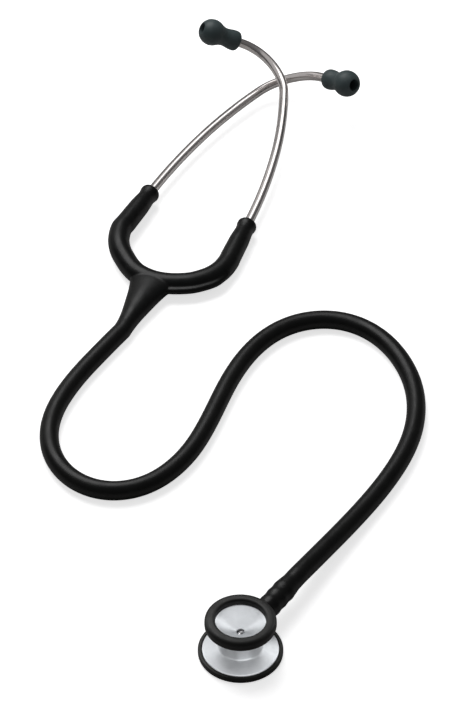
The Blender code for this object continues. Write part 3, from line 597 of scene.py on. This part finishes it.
def make_diaphragm():
    disc = lathe(
        "diaphragm_disc",
        rounded(
            [
                (0.0, 0.4, 0), (13.6, 0.4, 0.3), (14.2, 1.3, 0.2), (16.1, 1.3, 0.12),
                (16.1, 0.9, 0.12), (14.5, 0.9, 0.3), (13.9, 0.0, 0.2), (0.0, 0.0, 0),
            ]
        )
    )
    dress(disc, DIAPHRAGM_SHEET, "diaphragm", ["diaphragm"])


def make_stem():
    """The ported valve barrel with its barbed nipple, and the collar that keeps it in."""
    barbs = []
    for barb in reversed(BARB_STATIONS):
        s = barb / MM
        barbs += [(2.4, s + 2.0, 0.1), (3.4, s, 0.15), (3.4, s - 0.4, 0.1), (2.4, s - 0.5, 0.1)]
    stem = lathe(
        "stem_barrel",
        rounded(
            [
                (0.0, -1.6, 0), (1.2, -1.6, 0), (1.2, 35.2, 0), (2.1, 35.2, 0.15), *barbs,
                (2.4, 12.2, 0.1), (2.2, 12.0, 0.1), (2.2, 6.6, 0.15), (3.4, 6.6, 0.15),
                (3.4, 5.7, 0.15), (2.6, 5.7, 0.1), (2.6, 5.25, 0), (1.6, 5.25, 0), (1.6, 3.95, 0),
                (2.6, 3.95, 0), (2.6, 3.55, 0.1), (2.1, 3.36, 0.1), (2.1, 1.84, 0.1), (2.6, 1.65, 0.1),
                (2.6, -3.7, 0), (2.3, -4.0, 0), (0.0, -4.0, 0),
            ],
            4,
        ),
        STEM,
        64,
    )
    cut(stem, [bar("port_cut", on_stem(0, 0, 0), on_stem(0, -3.4 * MM, 0), 1.3 * MM)])
    dress(stem, STEM_STEEL, "yoke", ["chest_stem"])
    collar = lathe(
        "stem_ferrule",
        rounded(
            [
                (2.5, 11.6, 0.1), (3.1, 11.6, 0.35), (3.1, 10.0, 0.15), (3.7, 9.85, 0.3),
                (3.7, 6.9, 0.2), (2.5, 6.9, 0.1),
            ]
        ),
        STEM,
        96,
    )
    dress(collar, STEM_STEEL, "chestpiece", ["stem_collar"])


make_turned_body()
make_rims()
make_diaphragm()
make_stem()


# Binaural: yoke, leaf spring, ear tubes and ear tips

ARM_ROUTES = {
    "left": [
        (-8.0, 1.7, 5.45), (-13.6, 5.1, 5.6), (-18.2, 9.2, 6.0), (-22.8, 14.2, 6.5),
        (-26.4, 20.6, 7.0), (-28.45, 28.4, 7.2),
    ],
    "right": [
        (8.0, 1.0, 5.4), (16.0, 4.4, 5.4), (20.6, 8.2, 5.4), (24.4, 12.9, 5.4),
        (26.9, 18.7, 5.4), (27.8, 25.4, 5.4),
    ],
}
ARM_MOUTHS = {"left": (-26.4, 61.0, 6.72), "right": (26.3, 55.3, 6.3)}
TRUNK_SECTIONS = [
    (3.0, 8.0, 3.2, 5.4), (0.0, 10.2, 4.5, 5.4), (-3.0, 10.6, 4.9, 5.35), (-6.0, 9.6, 5.0, 5.3),
    (-10.0, 8.5, 5.05, 5.25), (-14.0, 7.6, 5.05, 5.2), (-18.0, 6.8, 5.0, 5.1),
    (-22.0, 6.0, 4.85, 4.95), (-26.0, 5.25, 4.7, 4.8), (-30.0, 4.7, 4.5, 4.6),
    (-34.0, 4.38, 4.36, 4.46), (-38.0, 4.1, 4.1, 4.44),
]
ARM_OUTLINE = [
    (0.0, 4.2), (0.5, 4.7), (1.5, 4.9), (2.5, 4.8), (4.0, 4.45), (6.0, 4.35), (9.0, 4.6),
    (13.0, 4.9), (20.0, 5.0), (34.0, 5.2), (46.0, 5.2), (60.0, 5.1),
]
SEAM = 12.5 * MM
SOCKET = (2.6, 18.3)
YOKE_STEP = 0.5 * MM
YOKE_SIDES = 72
TRUNK_STEP = 0.6
SKIN_VOXEL = 0.4 * MM
SKIN_SMOOTHING = 14
SPRING_REACH = 50.0 * MM
SPRING_HALF_GAP = 0.1 * MM
SPRING_OFFSET = 3.25 * MM
SPRING_HALF_THICKNESS = 0.3 * MM
SPRING_HALF_WIDTH = 2.1 * MM
RIB_STATIONS = (7.0 * MM, 40.0 * MM)
RIB_RADIUS = 1.75 * MM
RIB_OFFSET = 5.65 * MM
RIB_SUNK = 3.2 * MM
RIB_RISE = 0.3 * MM
RIB_FADE = 14.0 * MM


def arm_points(side):
    """Points of an arm's centre line, from its bend near the crotch to its mouth."""
    bend = [np.array(binaural(*point)) for point in ARM_ROUTES[side]]
    mouth = np.array(binaural(*ARM_MOUTHS[side]))
    return bend + [bend[-1] + (mouth - bend[-1]) * share for share in (0.16, 0.4, 0.7, 1.0)]


CROTCH = np.array(binaural(0.0, 0.0, CROTCH_HEIGHT))
YOKE_LINE = smooth_route([*reversed(arm_points("left")), CROTCH, *arm_points("right")], YOKE_STEP)
CROTCH_AT = stations(YOKE_LINE)[np.linalg.norm(YOKE_LINE - CROTCH, axis=1).argmin()]
MOUTH_AT = {"left": -CROTCH_AT, "right": stations(YOKE_LINE)[-1] - CROTCH_AT}


def on_yoke(wanted):
    """Points on the yoke's centre line, at distances from the crotch, negative to the left."""
    return at_stations(YOKE_LINE, np.asarray(wanted) + CROTCH_AT)


def along_yoke(wanted):
    """The way that the yoke's centre line runs at those distances."""
    return on_yoke(wanted + YOKE_STEP) - on_yoke(wanted - YOKE_STEP)


def heading(side):
    """The direction in which an arm's mouth looks."""
    outer, inner = on_yoke([MOUTH_AT[side], MOUTH_AT[side] * 0.9])
    return Vector(outer - inner).normalized()


def softened(table, step):
    """A table's rows interpolated along its first column by a smooth curve."""
    return smooth_route([np.array(row, float) for row in table], step)


def make_trunk():
    """The flattened stem of the Y, as one closed loft that ends in the tubing."""
    sections = softened(TRUNK_SECTIONS, TRUNK_STEP)
    sides = YOKE_SIDES
    vertices, faces = [], []
    for forward, half_width, half_height, height in sections:
        centre = binaural(0.0, forward, height)
        for a in np.linspace(0.0, 2 * math.pi, sides, endpoint=False):
            side = ACROSS * (half_width * MM * math.cos(a))
            vertices.append(centre + side + Vector((0.0, 0.0, half_height * MM * math.sin(a))))
    count = len(sections)
    for i in range(count - 1):
        for k in range(sides):
            m = (k + 1) % sides
            faces.append((i * sides + k, i * sides + m, (i + 1) * sides + m, (i + 1) * sides + k))
    faces.append(tuple(range(sides)))
    faces.append(tuple((count - 1) * sides + k for k in range(sides)))
    return piece_from("trunk_loft", vertices, faces)


def mouth_cutter(side):
    """The ear tube's socket and the small funnel at its mouth."""
    radius, depth = SOCKET
    outline = [
        (0.0, -depth), (radius, -depth), (radius, -1.9), (radius + 0.35, -1.2), (3.85, 0.1),
        (4.2, 1.5), (0.0, 1.5),
    ]
    turn = heading(side).to_track_quat("Z", "Y").to_matrix().to_4x4()
    mouth = Vector(on_yoke([MOUTH_AT[side]])[0])
    place = Matrix.Translation(mouth) @ turn
    return lathe(f"mouth_cut_{side}", [(r * MM, z * MM) for r, z in outline], place, 64)


def make_rib():
    """The moulding's low rib along the outer side of the right arm, sinking into it at its far end."""
    start, end = RIB_STATIONS
    wanted = np.linspace(start, end, 90)
    ahead = along_yoke(wanted)
    outward = np.cross(ahead, [0.0, 0.0, 1.0])
    outward /= np.linalg.norm(outward, axis=1)[:, None]
    fade = np.clip((end - wanted) / RIB_FADE, 0.0, 1.0)
    offset = RIB_SUNK + (RIB_OFFSET - RIB_SUNK) * fade * fade * (3 - 2 * fade)
    line = on_yoke(wanted) + outward * offset[:, None] + np.array([0.0, 0.0, RIB_RISE])
    into = np.clip((wanted - start) / RIB_RADIUS, 0.0, 1.0)
    radii = RIB_RADIUS * np.sqrt(np.clip(1 - (1 - into) ** 2, 0.05, 1.0))
    return sweep("yoke_rib", line, radii, 24)


def make_yoke():
    """One moulded skin over both arms and the trunk, cut into three pieces; only the middle one rides a
    body, the yoke's.
    """
    distances = [value * MM for value, _ in ARM_OUTLINE]
    outline = [value * MM for _, value in ARM_OUTLINE]
    wanted = np.linspace(MOUTH_AT["left"], MOUTH_AT["right"], 380)
    behind = np.minimum(wanted - MOUTH_AT["left"], MOUTH_AT["right"] - wanted)
    skin = sweep("yoke_skin", on_yoke(wanted), np.interp(behind, distances, outline), YOKE_SIDES)
    for addition in (make_trunk(), make_rib()):
        union = skin.modifiers.new("join", "BOOLEAN")
        union.object = addition
        union.operation = "UNION"
        union.solver = "EXACT"
        applied(skin, [union])
        bpy.data.objects.remove(addition)

    remesh = skin.modifiers.new("skin", "REMESH")
    remesh.mode = "VOXEL"
    remesh.voxel_size = SKIN_VOXEL
    soften = skin.modifiers.new("soften", "SMOOTH")
    soften.factor = 0.5
    soften.iterations = SKIN_SMOOTHING
    applied(skin, [remesh, soften])
    cut(skin, [mouth_cutter("left"), mouth_cutter("right")])

    shape = bmesh.new()
    shape.from_mesh(skin.data)
    for sign in (-1, 1):
        everything = [*shape.verts, *shape.edges, *shape.faces]
        place = Vector(CROTCH) + ACROSS * (sign * SEAM)
        bmesh.ops.bisect_plane(shape, geom=everything, dist=1e-7, plane_co=place, plane_no=ACROSS)
    shape.to_mesh(skin.data)
    shape.free()
    mesh = skin.data
    mesh.shade_smooth()
    mesh.set_sharp_from_angle(angle=math.radians(40.0))
    points = np.empty(len(mesh.vertices) * 3)
    mesh.vertices.foreach_get("co", points)
    points = points.reshape(-1, 3)
    normals = np.empty(len(mesh.loops) * 3)
    mesh.corner_normals.foreach_get("vector", normals)
    normals = normals.reshape(-1, 3)

    across = (points - CROTCH) @ np.array(ACROSS)
    groups = {"left": [], "middle": [], "right": []}
    for polygon in mesh.polygons:
        middle = across[list(polygon.vertices)].mean()
        key = "left" if middle < -SEAM else "right" if middle > SEAM else "middle"
        groups[key].append(polygon)
    for key, polygons in groups.items():
        used = sorted({v for polygon in polygons for v in polygon.vertices})
        order = {v: i for i, v in enumerate(used)}
        part = bpy.data.meshes.new(f"yoke_{key}")
        faces = [[order[v] for v in polygon.vertices] for polygon in polygons]
        part.from_pydata(points[used].tolist(), [], faces)
        part.shade_smooth()
        corners = [normals[loop] for polygon in polygons for loop in polygon.loop_indices]
        part.normals_split_custom_set([tuple(corner) for corner in corners])
        piece = link(bpy.data.objects.new(f"yoke_{key}", part))
        if key == "middle":
            dress(piece, YOKE_RUBBER, "yoke", ["yoke_crotch"])
            continue
        dress(piece, YOKE_RUBBER, replaces=[f"yoke_arm_{key}"])
        blend_arm(piece)
    bpy.data.objects.remove(skin)


def blend_arm(piece):
    """Bakes the piece's placement into its mesh; the piece is not bent."""
    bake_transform(piece)


def make_spring(side):
    """Half of the leaf spring inside the yoke, standing on edge along the arm's inner side."""
    sign = -1 if side == "left" else 1
    wanted = sign * np.linspace(SPRING_HALF_GAP, SPRING_REACH, 60)
    line = on_yoke(wanted)
    ahead = along_yoke(wanted)
    vertices, faces = [], []
    for place, direction in zip(line, ahead):
        inward = Vector((0, 0, 1)).cross(Vector(direction)).normalized()
        for x, z in ((-1, -1), (1, -1), (1, 1), (-1, 1)):
            centre = Vector(place) + inward * (SPRING_OFFSET + x * SPRING_HALF_THICKNESS)
            vertices.append(centre + Vector((0.0, 0.0, z * SPRING_HALF_WIDTH)))
    for i in range(len(line) - 1):
        for k in range(4):
            m = (k + 1) % 4
            faces.append((i * 4 + k, i * 4 + m, i * 4 + 4 + m, i * 4 + 4 + k))
    faces += [(0, 1, 2, 3), tuple(len(vertices) - 4 + k for k in range(4))]
    piece = piece_from(f"leaf_spring_{side}", vertices, faces)
    dress(piece, SPRING_STEEL, replaces=["binaural_spring"])
    blend_arm(piece)


EAR_TUBE_RADIUS = 2.3 * MM
EAR_TUBE_BORE_RADIUS = 1.8 * MM
EAR_TUBE_STEP = 0.7 * MM
EAR_TUBE_INSERTION = 18.0 * MM
EAR_TUBE_LEAD = {"left": 1.8 * MM, "right": 2.6 * MM}
EAR_TUBE_BENDS = [
    (47.3 * MM, 350.0 * MM, 0.0),
    (47.3 * MM, 252.0 * MM, 0.0),
    (36.5 * MM, 22.0 * MM, math.radians(10.0)),
    (12.9 * MM, None, 0.0),
]
EAR_TUBE_ROLL = {"left": math.radians(10.0), "right": math.radians(22.6)}
EAR_TIP_OVERLAP = {"left": 7.3 * MM, "right": 9.3 * MM}
EAR_TIP_OUTLINE = [
    (20.9, 3.0), (20.7, 3.6), (19.6, 4.9), (17.6, 6.15), (15.0, 6.65), (12.6, 6.2), (10.6, 5.25),
    (8.6, 4.65), (6.6, 4.65), (4.2, 5.05), (2.0, 5.15), (0.7, 4.8), (0.0, 4.0),
]
EAR_TIP_BORE = [(2.6, 0.0), (2.6, 1.3), (3.5, 1.3), (3.5, 9.9), (2.8, 10.2), (2.8, 20.6)]
EAR_TIP_STEP = 0.35


def bent_path(start, direction, inward, bends):
    """Points along successive bends (length, radius or None, tilt of the bend's plane)."""
    points = [start.copy()]
    inward = (inward - direction * inward.dot(direction)).normalized()
    for length, radius, tilt in bends:
        count = round(length / EAR_TUBE_STEP)
        up = direction.cross(inward) * (1 if direction.cross(inward).z > 0 else -1)
        towards = inward * math.cos(tilt) + up * math.sin(tilt)
        axis = direction.cross(towards)
        half = Matrix.Rotation(length / count / radius / 2 if radius else 0.0, 3, axis)
        for _ in range(count):
            direction = half @ direction
            points.append(points[-1] + direction * (length / count))
            direction = half @ direction
            inward = half @ (half @ inward)
    return points, direction


def make_ear_side(side):
    """An ear tube, from its socket in the yoke, and the soft tip at its end."""
    direction = heading(side)
    inward = ACROSS if side == "left" else -ACROSS
    inward = (inward - direction * inward.dot(direction)).normalized()
    up = Vector((0, 0, 1)) - direction * direction.z
    roll = EAR_TUBE_ROLL[side]
    inward = inward * math.cos(roll) + up.normalized() * math.sin(roll)
    mouth = Vector(on_yoke([MOUTH_AT[side]])[0])
    start = mouth + direction * EAR_TUBE_LEAD[side]
    points, tangent = bent_path(start, direction, inward, EAR_TUBE_BENDS)
    shares = (1.0, 0.8, 0.6, 0.4, 0.2, 0.0)
    inner = [mouth - direction * EAR_TUBE_INSERTION * share for share in shares]
    line = inner + points
    steel = sweep(f"ear_tube_skin_{side}", line, [EAR_TUBE_RADIUS] * len(line), 48, EAR_TUBE_BORE_RADIUS)
    dress(steel, TUBE_STEEL, f"ear_tube_{side}", [f"ear_tube_{side}"])

    turn = tangent.to_track_quat("Z", "Y").to_matrix().to_4x4()
    place = Matrix.Translation(points[-1] - tangent * EAR_TIP_OVERLAP[side]) @ turn
    rows = softened([(height, radius) for height, radius in EAR_TIP_OUTLINE], EAR_TIP_STEP)
    outline = [(radius * MM, height * MM) for height, radius in rows]
    outline += [(radius * MM, height * MM) for radius, height in EAR_TIP_BORE]
    tip = lathe(f"ear_tip_skin_{side}", outline, place, 96)
    dress(tip, TIP_SILICONE, f"ear_tip_{side}", [f"ear_tip_{side}"])


make_yoke()
for side in ("left", "right"):
    make_spring(side)
    make_ear_side(side)


# Parts kept from the CAD


KEPT_LOOKS = {
    "stem_seal": SEAL_RUBBER,
    "detent_ball": DETENT_STEEL,
    "detent_spring": SPRING_STEEL,
    "detent_screw": DETENT_STEEL,
    "ear_tube_fitting_left": TUBE_STEEL,
    "ear_tube_fitting_right": TUBE_STEEL,
}
for name, material in KEPT_LOOKS.items():
    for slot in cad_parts[name].material_slots:
        slot.material = material


# Floor and light

FLOOR_REACH = 3.0
LIT_MIDDLE = (-0.02, 0.2, 0.0)
NEUTRAL = (1.0, 1.0, 1.0)
COOL = (0.97, 0.985, 1.0)
WARM = (1.0, 0.985, 0.97)
TURNED = ["chestpiece_shell"]
RIMS = ["bell_ring", "diaphragm_ring"]
TUBES = ["ear_tube_skin_left", "ear_tube_skin_right"]
# Soft boxes: name, direction, distance, size, radiance, colour, objects named and whether only they are lit
STUDIO = [
    ("key", (-0.23, 0.46, 0.86), 1.2, (0.88, 0.88), 3.9, NEUTRAL, TURNED + TUBES, "EXCLUDE"),
    ("left_wall", (-0.62, 0.80, 0.34), 1.3, (0.9, 0.5), 0.28, WARM, [], ""),
    ("tube_key", (0.10, 0.45, 0.86), 1.2, (0.72, 0.95), 1.65, NEUTRAL, TUBES, "INCLUDE"),
    ("tube_fill", (-0.25, 0.1, 0.9), 1.0, (2.8, 2.6), 0.30, WARM, TUBES, "INCLUDE"),
    ("steel_dome", (0.0, -0.2, 1.0), 1.1, (2.8, 2.6), 0.76, COOL, TURNED, "INCLUDE"),
    ("steel_right", (0.80, 0.50, 0.50), 1.2, (0.8, 0.9), 1.5, COOL, TURNED + RIMS, "INCLUDE"),
    ("steel_back", (-0.15, 0.90, 0.38), 1.2, (1.4, 0.7), 0.9, COOL, TURNED, "INCLUDE"),
    ("steel_front", (0.25, -0.95, 0.22), 1.2, (1.1, 0.5), 1.5, COOL, TURNED, "INCLUDE"),
    ("steel_left", (-0.85, 0.45, 0.45), 1.2, (0.8, 0.9), 1.5, COOL, TURNED + RIMS, "INCLUDE"),
]


def make_floor():
    """White paper for the view, which throws back less light than it shows, as a shaded table does."""
    reach = FLOOR_REACH
    corners = [(-reach, -reach, 0.0), (reach, -reach, 0.0), (reach, reach, 0.0), (-reach, reach, 0.0)]
    floor = piece_from("floor", corners, [(0, 1, 2, 3)])
    paper = Look("floor_paper", (0.95, 0.95, 0.95), 0.9, Specular_IOR_Level=0.1)
    paper.colour(paper.noise(0.2, 2.0), (0.945, 0.945, 0.945), (0.955, 0.955, 0.955))
    paper.shader.inputs["Emission Color"].default_value = (1.0, 1.0, 1.0, 1.0)
    paper.shader.inputs["Emission Strength"].default_value = 0.70
    shaded = paper.nodes.new("ShaderNodeBsdfDiffuse")
    shaded.inputs["Color"].default_value = (0.52, 0.515, 0.51, 1.0)
    seen = paper.nodes.new("ShaderNodeLightPath").outputs["Is Camera Ray"]
    mix = paper.nodes.new("ShaderNodeMixShader")
    paper.links.new(seen, mix.inputs["Fac"])
    paper.links.new(shaded.outputs["BSDF"], mix.inputs[1])
    paper.links.new(paper.shader.outputs["BSDF"], mix.inputs[2])
    paper.links.new(mix.outputs["Shader"], paper.nodes["Material Output"].inputs["Surface"])
    floor.data.materials.append(paper.material)


def area_light(name, direction, distance, size, radiance, colour):
    """A soft box of that radiance, in a direction from the middle of the object."""
    data = bpy.data.lights.new(name, "AREA")
    data.shape = "RECTANGLE"
    data.size, data.size_y = size
    data.energy = radiance * math.pi * size[0] * size[1]
    data.color = colour
    light = bpy.data.objects.new(name, data)
    away = Vector(direction).normalized()
    light.location = Vector(LIT_MIDDLE) + away * distance
    light.rotation_euler = (-away).to_track_quat("-Z", "Y").to_euler()
    return link(light)


def reach_of(light, names, state):
    """Makes a light include only, or exclude, the named objects."""
    group = bpy.data.collections.new(f"{light.name}_{state.lower()}")
    for name in names:
        group.objects.link(bpy.data.objects[name])
    light.light_linking.receiver_collection = group
    for entry in group.collection_objects:
        entry.light_linking.link_state = state


def make_world():
    """A dim, slightly warm studio."""
    world = bpy.data.worlds.new("studio")
    world.use_nodes = True
    nodes, links = world.node_tree.nodes, world.node_tree.links
    direction = nodes.new("ShaderNodeTexCoord").outputs["Generated"]
    parts = nodes.new("ShaderNodeSeparateXYZ")
    links.new(direction, parts.inputs["Vector"])
    ramp = nodes.new("ShaderNodeValToRGB")
    elements = ramp.color_ramp.elements
    elements[0].position = 0.0
    elements[0].color = (0.065, 0.063, 0.062, 1.0)
    elements[1].position = 1.0
    elements[1].color = (0.17, 0.17, 0.175, 1.0)
    links.new(parts.outputs["Z"], ramp.inputs["Fac"])
    links.new(ramp.outputs["Color"], nodes["Background"].inputs["Color"])
    bpy.context.scene.world = world


make_floor()
make_world()
for name, direction, distance, size, radiance, colour, names, state in STUDIO:
    light = area_light(name, direction, distance, size, radiance, colour)
    if names:
        reach_of(light, names, state)
